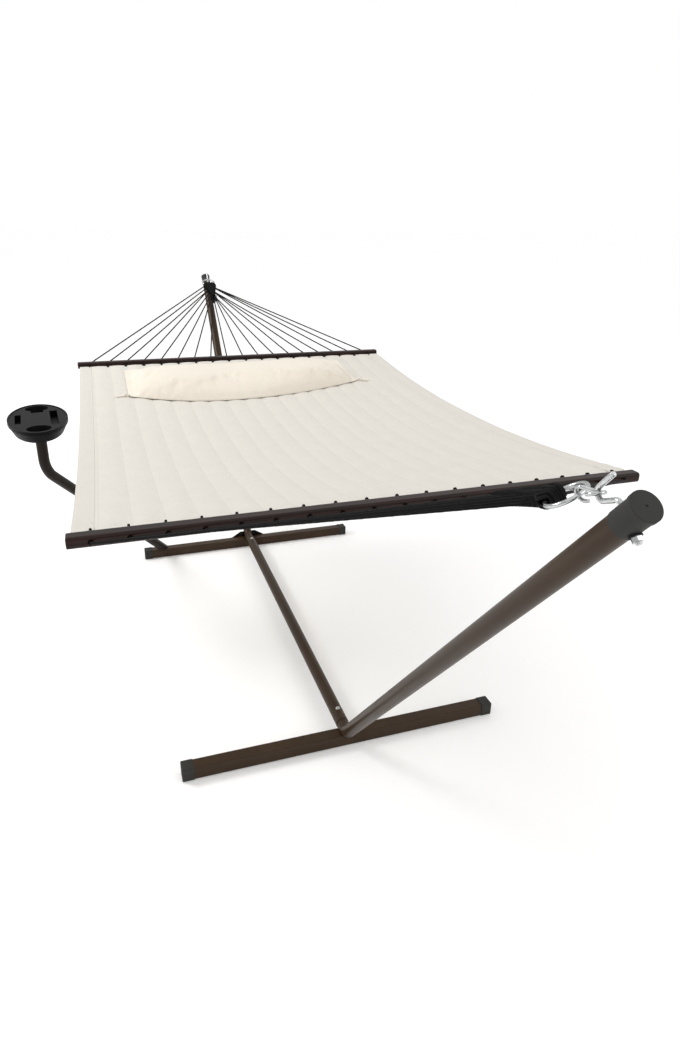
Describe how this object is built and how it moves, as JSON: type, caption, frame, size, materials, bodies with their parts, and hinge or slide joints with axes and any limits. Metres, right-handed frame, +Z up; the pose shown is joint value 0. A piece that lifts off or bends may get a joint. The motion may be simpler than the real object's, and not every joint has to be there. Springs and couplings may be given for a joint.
{
  "type": "hammock on stand",
  "caption": "Quilted two-person hammock with wooden spreader bars and a pillow, hung on a brown tubular steel stand with a swivelling side tray for drinks.",
  "frame": {"origin": "on the ground, midway between the two base tubes, under the centre beam", "axes": "+Z up, +Y along the hammock towards the pillow, +X towards the side away from the tray"},
  "size_m": [1.6331, 3.5228, 1.2212],
  "materials": {
    "brown_powder_coat": "semi-gloss",
    "black_powder_coat": "semi-gloss",
    "black_plastic": "matte",
    "black_rubber_washer": "matte",
    "zinc_steel": "bright zinc",
    "black_rope": "matte",
    "stained_wood": "satin",
    "quilted_fabric": "matte",
    "pillow_fabric": "matte"
  },
  "bodies": {
    "stand": {"beam_bolts": "zinc_steel", "beam_nuts": "zinc_steel", "centre_beam": "brown_powder_coat", "foot_arm": "brown_powder_coat", "foot_arm_cap": "black_plastic", "foot_base_tube": "brown_powder_coat", "foot_elbow": "brown_powder_coat", "foot_hook_bolt": "zinc_steel", "foot_hook_nut": "zinc_steel", "foot_hook_washer": "black_rubber_washer", "foot_left_base_cap": "black_plastic", "foot_right_base_cap": "black_plastic", "head_arm": "brown_powder_coat", "head_arm_cap": "black_plastic", "head_base_tube": "brown_powder_coat", "head_elbow": "brown_powder_coat", "head_foot_plate": "black_powder_coat", "head_hook_bolt": "zinc_steel", "head_hook_nut": "zinc_steel", "head_hook_washer": "black_rubber_washer", "head_left_base_cap": "black_plastic", "head_right_base_cap": "black_plastic", "tray_pole": "brown_powder_coat", "tray_pole_stub": "brown_powder_coat"},
    "hammock": {"foot_clew": "black_rope", "foot_edge_cord": "black_rope", "foot_rope_loops": "black_rope", "foot_ropes": "black_rope", "foot_spreader_bar": "stained_wood", "head_clew": "black_rope", "head_edge_cord": "black_rope", "head_rope_loops": "black_rope", "head_ropes": "black_rope", "head_spreader_bar": "stained_wood", "pillow": "pillow_fabric", "pillow_ties": "pillow_fabric", "quilted_bed": "quilted_fabric", "foot_ring": "zinc_steel", "foot_s_hook": "zinc_steel", "head_ring": "zinc_steel"},
    "tray": {"side_tray": "black_plastic", "tray_screws": "zinc_steel", "tray_socket": "black_plastic"}
  },
  "joints": [
    {"name": "swing", "type": "hinge", "parent": "stand", "child": "hammock", "pos_m": [0, 0, 1.1853], "axis": [0, 1, 0], "range_deg": [-25, 25]},
    {"name": "tray_turn", "type": "hinge", "parent": "stand", "child": "tray", "pos_m": [-0.832, 0.235, 0.8], "axis": [0, 0, 1], "range_deg": [-25, 25]}
  ]
}
